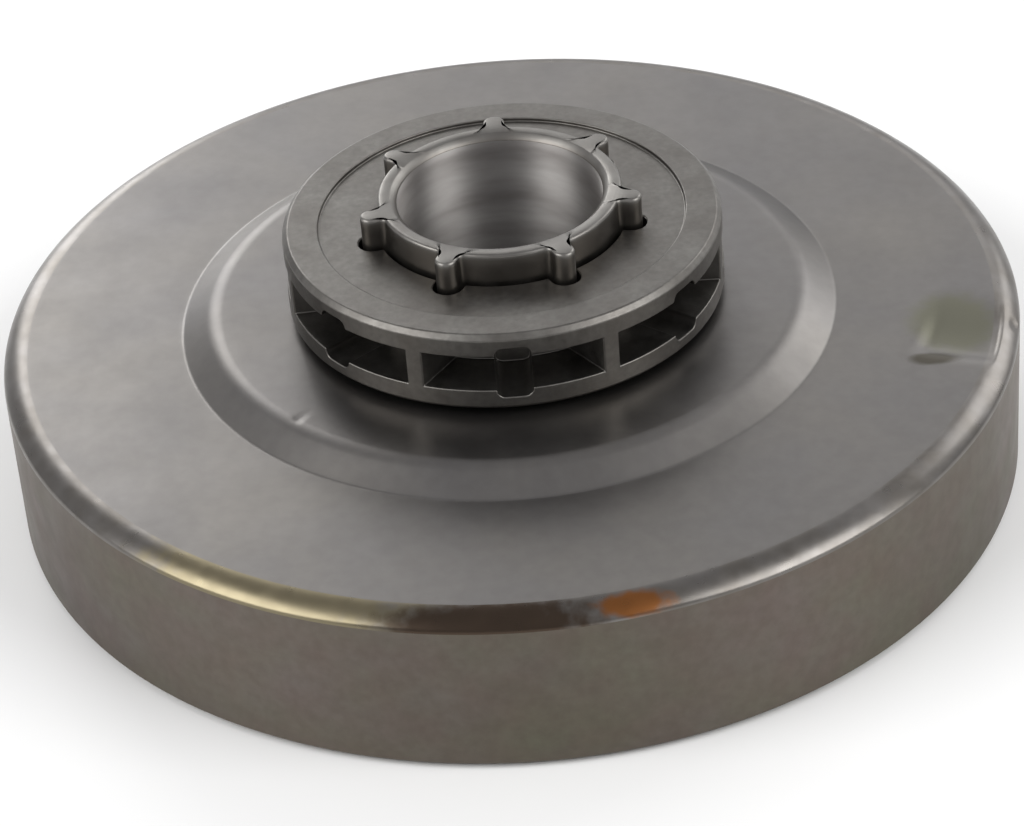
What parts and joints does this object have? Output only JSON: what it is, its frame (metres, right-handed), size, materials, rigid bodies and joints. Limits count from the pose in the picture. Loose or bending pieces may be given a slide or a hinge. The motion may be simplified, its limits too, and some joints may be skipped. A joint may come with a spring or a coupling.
{
  "type": "chainsaw clutch drum with rim sprocket",
  "caption": "Pressed steel clutch drum with a splined hub and a floating rim sprocket that drives a chainsaw's chain.",
  "frame": {"origin": "on the shaft axis, in the plane of the drum's open edge", "axes": "+Z along the shaft axis, from the drum's open edge towards the hub's end; one spline points along +Y"},
  "size_m": [0.08, 0.08, 0.0244],
  "materials": {
    "drum_steel": "satin cold-rolled sheet with a turned side wall",
    "hub_steel": "turned, satin",
    "rim_steel": "sintered and tumbled, satin"
  },
  "bodies": {
    "drum": {"clutch_drum": "drum_steel", "splined_hub": "hub_steel"},
    "rim": {"rim_sprocket": "rim_steel"}
  },
  "joints": [
    {"name": "rim_float", "type": "slide", "parent": "drum", "child": "rim", "axis": [0, 0, 1], "range_m": [0, 0.0022]}
  ]
}
